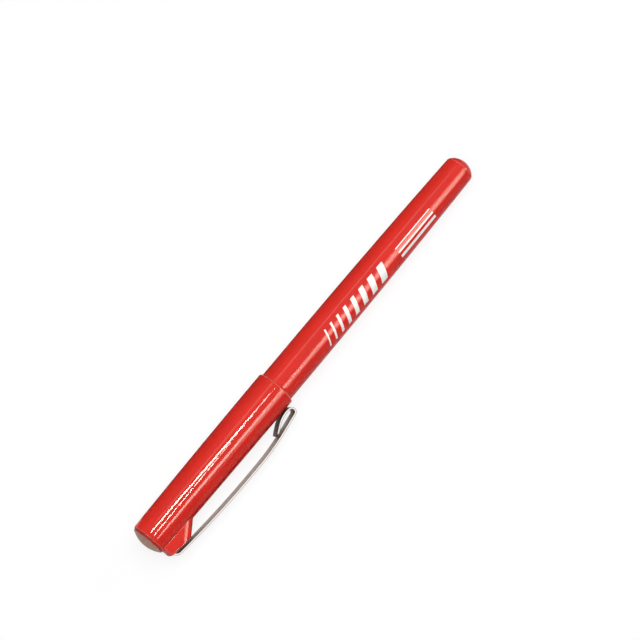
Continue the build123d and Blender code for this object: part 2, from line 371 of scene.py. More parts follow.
def add_piece(mesh, body, paint, slot, *nodes):
    """Sets a mesh in its place on a body, for the nodes that it stands for."""
    mesh.transform(PEN)
    mesh.materials.append(paint)
    mesh.shade_smooth()
    mesh.set_sharp_from_angle(angle=SHARP_ANGLE)
    piece = bpy.data.objects.new(mesh.name, mesh)
    bpy.context.scene.collection.objects.link(piece)
    even = piece.modifiers.new("even_normals", "WEIGHTED_NORMAL")
    even.keep_sharp = True
    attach(piece, body)
    if nodes:
        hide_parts(*nodes)
    return piece


# Pieces
def cap_body_mesh():
    outside = [(x, cap_radius(x), 0) for x in spread(0, cap_length, CAP_STEPS)]
    outside[0] = (0, cap_end_radius, cap_end_round)
    outside[-1] = (cap_length, cap_mouth_radius, cap_mouth_round)
    liner_bore = liner_bore_radius + liner_wall + liner_clearance
    web_x = recess_depth + cap_web
    inside = [
        (cap_length, cap_bore_radius, bore_mouth_round), (bead_x + bead_width, cap_bore_radius, 0),
        (bead_x, cap_bore_radius - bead_height, 0), (bead_x, cap_bore_radius, 0),
        (liner_seat_x, cap_bore_radius, 0), (liner_seat_x, liner_bore, 0), (web_x, liner_bore, 0),
        (web_x, 0, 0), (recess_depth, 0, 0), (recess_depth, plug_radius, 0), (0, plug_radius, 0),
    ]
    return lathe("cap_body", outside + inside)


def boss_plan(height):
    """Outline of the boss at a height, from its rear middle round the +z side, the nose and the -z side."""
    half = boss_width / 2
    slope = (boss_base_length - boss_top_length) / (boss_front_height - cap_radius(boss_base_length))
    nose_x = boss_top_length + (boss_front_height - height) * slope
    nose_length = boss_nose_round / math.sin(math.atan(1 / slope))
    corner_x = boss_setback + boss_rear_bow
    chain = [(boss_setback + boss_rear_bow * share ** 2, half * share, 0) for share in spread(0, 0.8, 4)]
    chain.append((corner_x, half, boss_corner_round))
    chain += [(x, half, 0) for x in spread(corner_x + 1, nose_x - nose_length, 8)]
    for angle in spread(math.pi / 2, 0, 9)[1:]:
        chain.append((nose_x - nose_length * (1 - math.cos(angle)),
                      half - boss_nose_round * (1 - math.sin(angle)), 0))
    chain += [(nose_x, z, 0) for z in spread(half - boss_nose_round, 0, 3)[1:]]
    return rounded(chain + [(x, -z, rounding) for x, z, rounding in chain[-2:0:-1]])


def boss_top(x):
    return boss_rear_height + (boss_front_height - boss_rear_height) * x / boss_top_length


def cap_height(x, z, depth=0):
    """Height of the cap's surface, or of one that lies depth under it, above the pen's axis."""
    return math.sqrt((cap_radius(x) - depth) ** 2 - z ** 2)


# Painted highlight on the boss by the order of its rows: the bend at its root, then the one at its top edge.
# The wall between the two bends has it only at its nose.
BEND_HIGHLIGHTS = {2: 0.5, 3: 1, 4: 1, 5: 0.6, 8: 1, 9: 0.5}
WALL_ROWS = (6, 7)


def smooth_bend(start, middle, end):
    """Points of a bend from start to end that sets out towards middle and comes in from it."""
    return [start * (1 - share) ** 2 + middle * 2 * share * (1 - share) + end * share ** 2
            for share in spread(0, 1, BEND_STEPS)]


def boss_columns(low, high):
    """Points up the boss's walls, a column for each point of its low and high plan.

    A column starts buried in the cap and goes through the bend at the root and the one at the top edge."""
    count = len(low)

    def wall(index, height):
        share = (height - boss_low_height) / (boss_high_height - boss_low_height)
        x, z = low[index].lerp(high[index], share)
        return Vector((x, height, z))

    def meet(index, surface):
        point = wall(index, boss_low_height)
        for _ in range(MEET_ROUNDS):
            point = wall(index, surface(point.x, point.z))
        return point

    def outward(points, index):
        run = points[(index + 1) % count] - points[index - 1]
        return Vector((-run.z, 0, run.x)).normalized()

    roots = [meet(index, cap_height) for index in range(count)]
    edges = [meet(index, lambda x, z: boss_top(x)) for index in range(count)]
    columns = []
    for index, (root, edge) in enumerate(zip(roots, edges)):
        climb = (edge - root).normalized()
        out = outward(roots, index)
        reach = boss_root_round * (1 - max(0, -out.x)) + boss_root_least
        shore = root + out * reach
        shore.y = cap_height(shore.x, shore.z, boss_shore_depth)
        buried = Vector((shore.x, cap_height(shore.x, shore.z, boss_root_depth), shore.z))
        inward = -outward(edges, index)
        inward.y = boss_top(edge.x + inward.x) - boss_top(edge.x)
        inward.normalize()
        inset = boss_edge_round / math.tan(inward.angle(-climb) / 2)
        foot = smooth_bend(shore, root, root + climb * reach)
        brow = smooth_bend(edge - climb * inset, edge, edge + inward * inset)
        columns.append([buried, *foot, *brow])
    return columns


def boss_mesh():
    """Clip boss: a root that flows into the cap, walls, rounded edges and a sloped top."""
    low, high = boss_plan(boss_low_height), boss_plan(boss_high_height)
    build = bmesh.new()
    # Each point holds how much painted highlight the boss gets there, at its root bend, top edge and nose
    highlit = build.verts.layers.float.new("painted_highlight")
    nose_highlights = edge_highlights(high)
    rings = []
    for order, row in enumerate(zip(*boss_columns(low, high))):
        ring = [build.verts.new((p.x, -p.y, p.z)) for p in row]
        for point, painted_highlight in zip(ring, nose_highlights):
            point[highlit] = painted_highlight if order in WALL_ROWS else BEND_HIGHLIGHTS.get(order, 0)
        rings.append(ring)
    for ring, following in zip(rings, rings[1:]):
        join_rings(build, ring, following)
    fill_across(build, rings[-1], lambda x, z: boss_top(x))
    fill_across(build, rings[0], lambda x, z: cap_height(x, z, boss_root_depth))
    return finished_mesh("cap_boss", build)


def fill_across(build, ring, surface, steps=8):
    """Fills a ring that is the same on both sides of the pen's middle plane with rows laid on a surface."""
    half = len(ring) // 2
    rows = [[ring[0]]]
    for index in range(1, half):
        near, far = ring[index], ring[-index]
        row = [near]
        for share in spread(0, 1, steps)[1:-1]:
            x, _, z = near.co.lerp(far.co, share)
            row.append(build.verts.new((x, -surface(x, z), z)))
        rows.append(row + [far])
    rows.append([ring[half]])
    for row, following in zip(rows, rows[1:]):
        join_rings(build, row, following, closed=False)


def cut_slot(boss):
    """Cuts the clip's slot in the boss, from a little under the tongue's foot up."""
    build = bmesh.new()
    bmesh.ops.create_cube(build, size=1)
    middle_height = tongue_foot_height - cutter_start + cutter_length / 2
    middle = Vector(((slot_rear_x + slot_front_x) / 2, -middle_height, 0))
    size = Matrix.Diagonal((slot_front_x - slot_rear_x, cutter_length, 2 * slot_half_width, 1))
    bmesh.ops.transform(build, matrix=PEN @ Matrix.Translation(middle) @ size, verts=build.verts)
    cutter = bpy.data.objects.new("slot_cutter", finished_mesh("slot_cutter", build))
    bpy.context.scene.collection.objects.link(cutter)
    cut = boss.modifiers.new("slot", "BOOLEAN")
    cut.object = cutter
    cut.operation = "DIFFERENCE"
    boss.modifiers.move(len(boss.modifiers) - 1, 0)
    view = bpy.context.evaluated_depsgraph_get()
    done = bpy.data.meshes.new_from_object(boss.evaluated_get(view))
    boss.modifiers.clear()
    boss.data = done
    bpy.data.objects.remove(cutter)


def end_plug_mesh():
    groove_radius = plug_head_radius - plug_groove_depth
    spigot_radius = plug_radius - press_clearance
    pocket_radius = disc_radius + press_clearance
    pocket_x = disc_pocket - plug_proud
    return lathe("end_plug", [
        (plug_depth, 0, 0), (plug_depth, spigot_radius, spigot_round), (0, spigot_radius, 0),
        (0, groove_radius, 0), (-plug_groove_width, groove_radius, 0),
        (-plug_groove_width, plug_head_radius, plug_rim_round),
        (-plug_proud, pocket_radius + plug_lip, plug_lip_round),
        (-plug_proud, pocket_radius, plug_rim_round), (pocket_x, pocket_radius, 0), (pocket_x, 0, 0),
    ])


def end_disc_mesh():
    back_x = disc_pocket - plug_proud
    rim_x = back_x - disc_thickness
    return lathe("end_disc", [
        (back_x, 0, 0), (back_x, disc_radius, 0), (rim_x, disc_radius, disc_edge_round),
        *dome(rim_x, disc_radius, -disc_dome),
    ])


def barrel_mesh():
    front = [
        (neck_front_x, neck_radius - barrel_wall, 0), (neck_front_x, neck_radius, neck_round),
        (shoulder_x, neck_radius, 0), (shoulder_x, shoulder_radius, shoulder_round),
        *[(x, shoulder_radius, 0) for x in spread(shoulder_x + 1, land_end_x - 1, 6)],
    ]
    taper = [(x, barrel_radius(x), 0) for x in spread(land_end_x, tail_x, TAPER_STEPS)]
    taper[-1] = (tail_x, tail_radius, tail_round)
    bore_end_x = tail_x - tail_spigot_length
    bore_front_x = shoulder_x + barrel_wall
    bore = [(tail_x, tail_radius - barrel_wall, 0)]
    bore += [(x, barrel_radius(x) - barrel_wall - bore_relief, 0)
             for x in spread(bore_end_x, land_end_x, 12)]
    bore += [(bore_front_x, shoulder_radius - barrel_wall - bore_relief, 0),
             (bore_front_x, neck_radius - barrel_wall, 0)]
    return lathe("barrel_tube", front + taper + bore)


def add_stroke(build, start_x, width, first_turn, last_turn, lean):
    """Thin closed patch on the barrel between two turns about its axis, shifted by lean along it."""
    columns = []
    for share in spread(0, 1, 14):
        turn = math.radians(first_turn + (last_turn - first_turn) * share)
        column = []
        for x, lift in ((0, print_lift), (1, print_lift), (1, -print_root), (0, -print_root)):
            place = start_x + lean * share + width * x
            radius = barrel_radius(place) + lift
            column.append(build.verts.new((place, -radius * math.sin(turn), radius * math.cos(turn))))
        columns.append(column)
    for column, following in zip(columns, columns[1:]):
        join_rings(build, column, following)
    build.faces.new(columns[0])
    build.faces.new(columns[-1])


def print_mesh():
    """Plain print on the barrel: slanted strokes that grow in weight, and rules beside them."""
    build = bmesh.new()
    x = strokes_x
    for weight in stroke_weights:
        add_stroke(build, x, weight, *stroke_turns, stroke_lean)
        x += weight + stroke_gap
    for weight, turn in zip(rule_weights, rule_turns):
        half = math.degrees(weight / 2 / barrel_radius(rules_x))
        add_stroke(build, rules_x, rule_length, turn - half, turn + half, 0)
    return finished_mesh("barrel_print", build)


def tail_plug_mesh():
    spigot_radius = tail_radius - barrel_wall - press_clearance
    spigot_x = tail_x - tail_spigot_length
    rim_radius = tail_radius - seam_step
    rim_x = tail_x + seam_gap
    neck = rim_radius - seam_depth
    return lathe("tail_dome", [
        (spigot_x, 0, 0), (spigot_x, spigot_radius, spigot_round), (tail_x, spigot_radius, 0),
        (tail_x, neck, 0), (rim_x, neck, 0), (rim_x, rim_radius, dome_rim_round),
        *dome(rim_x, rim_radius, dome_height),
    ])


def grip_mesh():
    grip = [(grip_front_x, grip_front_radius, grip_front_round)]
    for ring in reversed(range(ring_count)):
        rear_x = grip_rear_x - ring_margin - ring * ring_pitch
        front_x = rear_x - ring_width
        for x, depth, rounding in ((front_x, 0, ring_edge_round), (front_x, ring_depth, ring_floor_round),
                                   (rear_x, ring_depth, ring_floor_round), (rear_x, 0, ring_edge_round)):
            along = (grip_rear_x - x) / (grip_rear_x - grip_front_x)
            radius = grip_rear_radius + (grip_front_radius - grip_rear_radius) * along
            grip.append((x, radius - depth, rounding))
    spigot_radius = neck_radius - barrel_wall - press_clearance
    sleeve_bore = sleeve_radius + press_clearance
    return lathe("grip_front", [
        (nozzle_front_x, sleeve_bore, 0), (nozzle_front_x, nozzle_radius, nozzle_round),
        (seal_front_x, seal_radius, seal_round), (seal_rear_x, seal_radius, seal_round), *grip,
        (grip_rear_x, grip_rear_radius, collar_front_round),
        (grip_rear_x, collar_radius, collar_front_round),
        (neck_front_x, collar_radius, collar_rear_round), (neck_front_x, spigot_radius, 0),
        (spigot_end_x, spigot_radius, 0), (spigot_end_x, feed_bore_radius, 0),
        (sleeve_rear_x, feed_bore_radius, 0), (sleeve_rear_x, sleeve_bore, 0),
    ])


def sleeve_mesh():
    cone_x = sleeve_front_x + sleeve_slim_length
    tip_bore = nib_tip_radius + press_clearance
    nib_bore = nib_radius + press_clearance
    return lathe("sleeve_tube", [
        (sleeve_front_x, tip_bore, 0), (sleeve_front_x, sleeve_slim_radius, sleeve_tip_round),
        (cone_x, sleeve_slim_radius, sleeve_cone_round),
        (cone_x + sleeve_cone_length, sleeve_radius, sleeve_cone_round),
        (sleeve_rear_x, sleeve_radius, 0), (sleeve_rear_x, nib_bore, 0),
        (sleeve_front_x + sleeve_lip, nib_bore, 0), (sleeve_front_x + sleeve_lip, tip_bore, 0),
    ])


def nib_mesh():
    step_x = sleeve_front_x + sleeve_lip + press_clearance
    middle_x = nib_tip_x + nib_tip_radius
    tip = [(middle_x - nib_tip_radius * math.cos(a), nib_tip_radius * math.sin(a), 0)
           for a in spread(0, math.pi / 2, 8)]
    tip[0] = (nib_tip_x, 0, 0)
    return lathe("nib_point", [*tip, (step_x, nib_tip_radius, 0), (step_x, nib_radius, 0),
                               (sleeve_rear_x, nib_radius, 0), (sleeve_rear_x, 0, 0)])


def liner_mesh():
    outer = liner_bore_radius + liner_wall
    flange_radius = cap_bore_radius - liner_clearance
    flange_x = liner_mouth_x - liner_flange
    floor_x = liner_end_x + liner_wall
    return lathe("liner_cup", [
        (liner_end_x, 0, 0), (liner_end_x, outer, liner_wall / 2), (flange_x, outer, flange_round),
        (flange_x, flange_radius, flange_round), (liner_mouth_x, flange_radius, liner_rim_round),
        (liner_mouth_x, liner_bore_radius, liner_mouth_round),
        (floor_x, liner_bore_radius, liner_floor_round), (floor_x, 0, 0),
    ])


def strip_moves():
    """Stretches of the clip's middle line from tongue to foot, each with its length, turn and steps."""
    root, tip = math.radians(root_slope), math.radians(tip_slope)
    bend_start_height = boss_top(tongue_place) - root_sink
    bow_start_x = tongue_place + root_bend_radius * (1 - math.sin(root))
    bow_start_height = bend_start_height + root_bend_radius * math.cos(root)
    hairpin_x = cap_length - tip_setback - clip_thickness / 2 - hairpin_radius * (1 - math.sin(tip))
    foot_x = hairpin_x - foot_radius * math.sin(tip)
    foot_height = cap_radius(foot_x) + clip_rest_clearance + clip_thickness / 2
    hairpin_drop = 2 * hairpin_radius * math.cos(tip) + foot_radius * (1 - math.cos(tip))
    bow_climb = math.tan(root / 2)
    level_drop = bow_start_height - tip_run * math.tan(tip / 2) - hairpin_drop - foot_height
    level_run = hairpin_x - bow_start_x - crest_length - tip_run - level_drop / math.tan(tip)
    root_run = level_run / (1 + bow_climb / math.tan(tip))
    leg_length = (level_drop + root_run * bow_climb) / math.sin(tip)
    bend, hairpin = math.pi / 2 - root, math.pi - 2 * tip
    flare = tip + math.radians(foot_flare)
    return [
        (bend_start_height - tongue_foot_height, 0, 3), (root_bend_radius * bend, bend, 14),
        (root_run / math.sin(root) * root, root, 40), (crest_length, 0, 12),
        (tip_run / math.sin(tip) * tip, tip, 24), (leg_length, 0, 8),
        (hairpin_radius * hairpin, hairpin, 28), (foot_radius * flare, flare, 14),
        (foot_end_length - foot_corner_round, 0, 4),
    ]


def strip_places():
    """Places (x, height, heading, half width, stretch) along the clip. Stretch counts the moves done."""
    x, height, heading = tongue_place, tongue_foot_height, math.pi / 2
    moves = strip_moves()
    places = [(x, height, heading, clip_width / 2, 0)]
    for order, (length, turn, steps) in enumerate(moves):
        bit = turn / steps
        chord = length / steps if turn == 0 else 2 * length / turn * math.sin(bit / 2)
        for step in range(steps):
            x += chord * math.cos(heading - bit / 2)
            height += chord * math.sin(heading - bit / 2)
            heading -= bit
            places.append((x, height, heading, clip_width / 2, order + (step + 1) / steps))
    for angle in spread(0, math.pi / 2, 10)[1:]:
        reach = foot_corner_round * math.sin(angle)
        half = clip_width / 2 - foot_corner_round * (1 - math.cos(angle))
        end_x, end_height = x + reach * math.cos(heading), height + reach * math.sin(heading)
        places.append((end_x, end_height, heading, half, len(moves)))
    return places


def between(value, stops):
    """Straight interpolation through stops of (value, result)."""
    for (start, first), (end, second) in zip(stops, stops[1:]):
        if value <= end:
            return first + (second - first) * max(0, value - start) / (end - start)
    return stops[-1][1]


def clip_mesh():
    """Bent strip swept along its middle line. Its points hold how much painted shade the steel gets there.
    """
    build = bmesh.new()
    shade = build.verts.layers.float.new("painted_shade")
    rings = []
    thick = clip_thickness / 2
    for x, height, heading, half, stretch in strip_places():
        section = rounded([(z, side, clip_edge_round) for z, side in
                           ((-half, -thick), (half, -thick), (half, thick), (-half, thick))], 4)
        painted_shades = between(stretch, INNER_PAINTED_SHADE), between(stretch, OUTER_PAINTED_SHADE)
        ring = []
        for z, side in section:
            point = build.verts.new((x - math.sin(heading) * side, -height - math.cos(heading) * side, z))
            lean = min(1, max(0, (abs(side) - thick) / clip_edge_round + 1))
            corner = 1 - (2 * lean - 1) ** 4
            # Painted shade on the faces that turn towards the cap, and dark outlines painted on the corners
            point[shade] = max(lean * painted_shades[side > 0], corner * CORNER_PAINTED_SHADE[side > 0])
            ring.append(point)
        rings.append(ring)
    for ring, following in zip(rings, rings[1:]):
        join_rings(build, ring, following)
    build.faces.new(rings[0])
    build.faces.new(rings[-1])
    return finished_mesh("clip_strip", build)


# Materials
PEN_RED = (0.715, 0.027, 0.018)
# Deeper red of the end plug: painted shade for its end ring, which faces away from the light
SHADED_PLUG_RED = (0.42, 0.008, 0.01)
# Paler red painted as highlights on edges and on the boss's root and nose
HIGHLIGHT_RED = (0.8, 0.14, 0.105)
STRIP_STEEL = (0.97, 0.9, 0.84)
# Darker steel colours painted as shade on the clip's inner face, the inside of its hairpin and its foot
SHADED_STEEL = ((0.305, 0.205, 0.15), (0.052, 0.036, 0.03))
TUBE_STEEL = (0.66, 0.65, 0.63)
DISC_METAL = (0.4, 0.225, 0.185)
DISC_FLECKS = (0.66, 0.42, 0.24)
PRINT_WHITE = (0.93, 0.92, 0.9)
GRIP_BLACK = (0.03, 0.03, 0.033)
NIB_RED = (0.35, 0.03, 0.03)
NATURAL_PLASTIC = (0.8, 0.79, 0.75)
INK_RED = (0.45, 0.02, 0.03)
FILM_COLOUR = (0.8, 0.78, 0.78)
RED_PLASTIC_IOR = 1.25
SOFT_REACH = (0.001, 0.001, 0.001)

# Stretch of the pen's coordinates that leaves only the place across it
ACROSS_ONLY = (1e6, 1, 1)


def add_node(tree, kind, **inputs):
    """New node with inputs set to values or linked to outputs. An underscore in a name is a space."""
    node = tree.nodes.new(kind)
    for name, value in inputs.items():
        socket = node.inputs[name.replace("_", " ")]
        if isinstance(value, bpy.types.NodeSocket):
            tree.links.new(value, socket)
        else:
            socket.default_value = value
    return node


def new_material(name, colour, roughness, metallic=0.0):
    made = bpy.data.materials.new(name)
    made.use_nodes = True
    shader = made.node_tree.nodes["Principled BSDF"]
    shader.inputs["Base Color"].default_value = (*colour, 1)
    shader.inputs["Roughness"].default_value = roughness
    shader.inputs["Metallic"].default_value = metallic
    return made, made.node_tree, shader


def pen_coordinates(tree, stretch=(1, 1, 1)):
    """Place on the pen in millimetres along its own axes, each divided by its stretch."""
    place, turn, _ = PEN.decompose()
    coordinates = add_node(tree, "ShaderNodeTexCoord")
    mapping = add_node(tree, "ShaderNodeMapping", Vector=coordinates.outputs["Object"], Location=place,
                       Rotation=turn.to_euler(), Scale=[MM * part for part in stretch])
    mapping.vector_type = "TEXTURE"
    return mapping.outputs["Vector"]


def noise(tree, scale, stretch=(1, 1, 1), detail=2.0):
    place = pen_coordinates(tree, stretch)
    return add_node(tree, "ShaderNodeTexNoise", Vector=place, Scale=scale, Detail=detail).outputs["Fac"]


def mapped(tree, value, low, high, start=0.3, end=0.7):
    """Value that goes from low to high while another goes from start to end."""
    node = add_node(tree, "ShaderNodeMapRange", Value=value, From_Min=start, From_Max=end,
                    To_Min=low, To_Max=high)
    return node.outputs["Result"]


def mixed(tree, share, first, second):
    """Colour between two colours. Inputs 6 and 7 and output 2 are the node's sockets for colours."""
    node = tree.nodes.new("ShaderNodeMix")
    node.data_type = "RGBA"
    tree.links.new(share, node.inputs["Factor"])
    for socket, colour in ((node.inputs[6], first), (node.inputs[7], second)):
        if isinstance(colour, bpy.types.NodeSocket):
            tree.links.new(colour, socket)
        else:
            socket.default_value = (*colour, 1)
    return node.outputs[2]


def bumped(tree, height, distance, under=None):
    """Normal of a surface whose height is 0 to 1 times distance, in millimetres, over a normal under it."""
    node = add_node(tree, "ShaderNodeBump", Height=height, Distance=distance * MM)
    if under:
        tree.links.new(under, node.inputs["Normal"])
    return node.outputs["Normal"]


def shaded(colour, factor):
    return tuple(part * factor for part in colour)


def mesh_value(tree, name):
    """Value that a mesh holds at its points under a name."""
    node = tree.nodes.new("ShaderNodeAttribute")
    node.attribute_name = name
    return node.outputs["Fac"]


def red_plastic(name, red, roughness, wave_height, grain_height):
    """Moulded red plastic with a little uneven colour, edges painted paler as highlights, long shallow waves
    and a fine grain.
    """
    made, tree, shader = new_material(name, red, roughness)
    cloud = mapped(tree, noise(tree, 0.25, (3, 1, 1)), 0, 1)
    tint = mixed(tree, cloud, shaded(red, 0.95), shaded(red, 1.04))
    # Base colour turns paler where the mesh holds a painted highlight
    tree.links.new(mixed(tree, mesh_value(tree, "painted_highlight"), tint, HIGHLIGHT_RED), shader.inputs["Base Color"])
    gloss = mapped(tree, noise(tree, 1.5, (4, 1, 1)), roughness * 0.85, roughness * 1.15)
    tree.links.new(gloss, shader.inputs["Roughness"])
    waves = bumped(tree, noise(tree, 0.14, (1.3, 1, 1), 1.0), wave_height)
    grain = bumped(tree, noise(tree, 9.0), grain_height, waves)
    tree.links.new(grain, shader.inputs["Normal"])
    shader.inputs["IOR"].default_value = RED_PLASTIC_IOR
    return made


def brushed_steel(name, colour, roughness, stretch, shade_colours=()):
    """Rolled steel with fine lines. Where its mesh says so, painted shade darkens it to one colour and then
    to another.
    """
    made, tree, shader = new_material(name, colour, roughness, 1.0)
    lines = noise(tree, 14.0, stretch, 3.0)
    tint = mixed(tree, mapped(tree, lines, 0, 1), shaded(colour, 0.93), shaded(colour, 1.05))
    if shade_colours:
        painted_shade = mesh_value(tree, "painted_shade")
        for start, shade_colour in zip((0, 0.5), shade_colours):
            share = mapped(tree, painted_shade, 0, 1, start, start + 0.5)
            tint = mixed(tree, share, tint, shade_colour)
    tree.links.new(tint, shader.inputs["Base Color"])
    tree.links.new(mapped(tree, lines, roughness * 0.8, roughness * 1.25), shader.inputs["Roughness"])
    tree.links.new(bumped(tree, lines, 0.0004), shader.inputs["Normal"])
    return made


def stamped_metal(name):
    """Dull stamped metal with turned rings and warm flecks."""
    made, tree, shader = new_material(name, DISC_METAL, 0.42, 1.0)
    flat = add_node(tree, "ShaderNodeVectorMath", Vector=pen_coordinates(tree, ACROSS_ONLY))
    flat.operation = "LENGTH"
    rings = add_node(tree, "ShaderNodeTexNoise", Scale=7.0, Detail=2.0)
    rings.noise_dimensions = "1D"
    tree.links.new(flat.outputs["Value"], rings.inputs["W"])
    flecks = mapped(tree, noise(tree, 3.5), 0, 1, 0.54, 0.66)
    tint = mixed(tree, flecks, DISC_METAL, DISC_FLECKS)
    tree.links.new(tint, shader.inputs["Base Color"])
    tree.links.new(mapped(tree, rings.outputs["Fac"], 0.36, 0.5), shader.inputs["Roughness"])
    tree.links.new(bumped(tree, rings.outputs["Fac"], 0.01), shader.inputs["Normal"])
    return made


def plain_plastic(name, colour, roughness, grain_height, soft=0.0):
    """Moulded plastic with a fine grain. Soft lets light through a little, as in natural plastic."""
    made, tree, shader = new_material(name, colour, roughness)
    cloud = mapped(tree, noise(tree, 0.8), 0, 1)
    tint = mixed(tree, cloud, shaded(colour, 0.93), shaded(colour, 1.05))
    tree.links.new(tint, shader.inputs["Base Color"])
    gloss = mapped(tree, noise(tree, 5.0), roughness * 0.9, roughness * 1.1)
    tree.links.new(gloss, shader.inputs["Roughness"])
    tree.links.new(bumped(tree, noise(tree, 12.0), grain_height), shader.inputs["Normal"])
    shader.inputs["Subsurface Weight"].default_value = soft
    shader.inputs["Subsurface Radius"].default_value = SOFT_REACH
    return made


def fibre(name, colour):
    """Bundle of fine fibres that run along the pen, soaked with ink."""
    made, tree, shader = new_material(name, colour, 0.8)
    strands = noise(tree, 8.0, (30, 1, 1), 3.0)
    tint = mixed(tree, mapped(tree, strands, 0, 1), shaded(colour, 0.7), shaded(colour, 1.25))
    tree.links.new(tint, shader.inputs["Base Color"])
    tree.links.new(bumped(tree, strands, 0.05), shader.inputs["Normal"])
    return made


def calculated(tree, operation, first, second):
    node = tree.nodes.new("ShaderNodeMath")
    node.operation = operation
    for socket, value in zip(node.inputs, (first, second)):
        if isinstance(value, bpy.types.NodeSocket):
            tree.links.new(value, socket)
        else:
            socket.default_value = value
    return node.outputs["Value"]


def seen_share(tree, by_eye, in_mirror):
    """Value of by_eye for camera rays, in_mirror for reflected and transmitted ones, and 0 for the rest."""
    rays = add_node(tree, "ShaderNodeLightPath").outputs
    mirror = calculated(tree, "MAXIMUM", rays["Is Glossy Ray"], rays["Is Transmission Ray"])
    seen = calculated(tree, "MULTIPLY", rays["Is Camera Ray"], by_eye)
    return calculated(tree, "MAXIMUM", seen, calculated(tree, "MULTIPLY", mirror, in_mirror))


# Stage
FLOOR_SIZE = 12
FLOOR_COLOUR = (0.76, 0.76, 0.76)
FLOOR_GLOW_LEVEL = 1.06
FLOOR_GLOW = 0.8
FLOOR_MIRROR_GLOW = 0.12
WORLD_FILL = 0.08
SKY_RIM = 0.12
SKY_CLIMB = (0.3, 0.82)
LAMP_DISTANCE = 0.8
# Colour of a card that paints shade into the reflections along the pen's side away from the clip
CARD_COLOUR = (0.02, 0.02, 0.02)
CARD_RUN = (4, 180)
CARD_REACH = (0.004, 0.3)
CARD_HEIGHT = 0.0005
WARM_WHITE = (1, 0.95, 0.82)
OVERHEAD_X = 100
OVERHEAD_SIZE = (1.2, 0.7)
OVERHEAD_LEVEL = 3.25
TAIL_FILL_WAY = (1, 0, 0.45)
TAIL_FILL_SIZE = (0.4, 0.4)
TAIL_FILL_LEVEL = 2.0
LEAST_FADE = 0.01
CAP_LINES = ("line_lamp", "second_line_lamp")


def floor_paint():
    """Pale floor that shows as white to the eye and in reflections, but keeps the object's shadow."""
    made = bpy.data.materials.new("floor_paint")
    made.use_nodes = True
    tree = made.node_tree
    tree.nodes.remove(tree.nodes["Principled BSDF"])
    matt = add_node(tree, "ShaderNodeBsdfDiffuse", Color=(*FLOOR_COLOUR, 1))
    glow = add_node(tree, "ShaderNodeEmission", Strength=FLOOR_GLOW_LEVEL)
    mix = add_node(tree, "ShaderNodeMixShader", Fac=seen_share(tree, FLOOR_GLOW, FLOOR_MIRROR_GLOW))
    tree.links.new(matt.outputs["BSDF"], mix.inputs[1])
    tree.links.new(glow.outputs["Emission"], mix.inputs[2])
    tree.links.new(mix.outputs["Shader"], tree.nodes["Material Output"].inputs["Surface"])
    return made


def view_axes(azimuth, elevation):
    """Unit vectors to the right, up and out of the picture for an upright camera."""
    turn, lift = math.radians(azimuth), math.radians(elevation)
    out = Vector((math.sin(turn) * math.cos(lift), -math.cos(turn) * math.cos(lift), math.sin(lift)))
    right = Vector((math.cos(turn), math.sin(turn), 0))
    return right, out.cross(right), out


def add_camera():
    right, up, out = view_axes(CAMERA_AZIMUTH, CAMERA_ELEVATION)
    data = bpy.data.cameras.new("camera")
    data.lens = CAMERA_LENS
    data.clip_start = CAMERA_NEAR
    camera = bpy.data.objects.new("camera", data)
    roll = Matrix.Rotation(math.radians(CAMERA_ROLL), 4, "Z")
    turned = Matrix((right, up, out)).transposed().to_4x4() @ roll
    camera.matrix_world = Matrix.Translation(eye_place()) @ turned
    bpy.context.scene.collection.objects.link(camera)
    bpy.context.scene.camera = camera


def soft_edges(data, soft):
    """Fades an area light towards its edges, over a share of its half width and half length."""
    data.use_nodes = True
    tree = data.node_tree
    place = add_node(tree, "ShaderNodeNewGeometry").outputs["Parametric"]
    parts = add_node(tree, "ShaderNodeSeparateXYZ", Vector=place)
    fades = []
    for axis, share in zip("XY", soft):
        fade = calculated(tree, "PINGPONG", parts.outputs[axis], 0.5)
        step = add_node(tree, "ShaderNodeMapRange", Value=fade, From_Max=max(share, LEAST_FADE) / 2)
        step.interpolation_type = "SMOOTHSTEP"
        fades.append(step.outputs["Result"])
    tree.links.new(calculated(tree, "MULTIPLY", *fades), tree.nodes["Emission"].inputs["Strength"])


def eye_place():
    right, up, out = view_axes(CAMERA_AZIMUTH, CAMERA_ELEVATION)
    return right * AIM_RIGHT + up * AIM_UP + out * CAMERA_DISTANCE


def mirror_place(x, across, distance):
    """Where a lamp is that the eye sees mirrored in the pen at x, a share of the half width across it."""
    outline = cap_radius if x < cap_length else barrel_radius
    slope = (outline(x + 1) - outline(x - 1)) / 2
    middle = PEN @ Vector((x, 0, 0))
    along = (PEN.to_3x3() @ Vector((1, 0, 0))).normalized()
    sight = (eye_place() - middle).normalized()
    facing = (sight - along * sight.dot(along)).normalized()
    radial = Matrix.Rotation(math.asin(across), 3, along) @ facing
    normal = (radial - along * slope).normalized()
    point = middle + radial * outline(x) * MM
    sight = (eye_place() - point).normalized()
    return point + (normal * 2 * normal.dot(sight) - sight) * distance


def reflected_lamp(name, first, last, across, width, level, soft):
    """Lamp seen only as a reflection along the pen, from x = first to x = last.

    Across holds the reflection's places at both ends, and width its width, as shares of the half width."""
    ends = [mirror_place(x, share, LAMP_DISTANCE) for x, share in zip((first, last), across)]
    middle_x, middle_share = (first + last) / 2, sum(across) / 2
    sides = [mirror_place(middle_x, middle_share + step * width / 2, LAMP_DISTANCE) for step in (-1, 1)]
    target = PEN @ Vector((middle_x, 0, 0))
    middle = (ends[0] + ends[1]) / 2
    out = (middle - target).normalized()
    along = ends[1] - ends[0]
    size = (along.length, (sides[1] - sides[0]).length)
    add_lamp(name, middle, out, along, size, level, soft, diffuse=False, glossy=True)


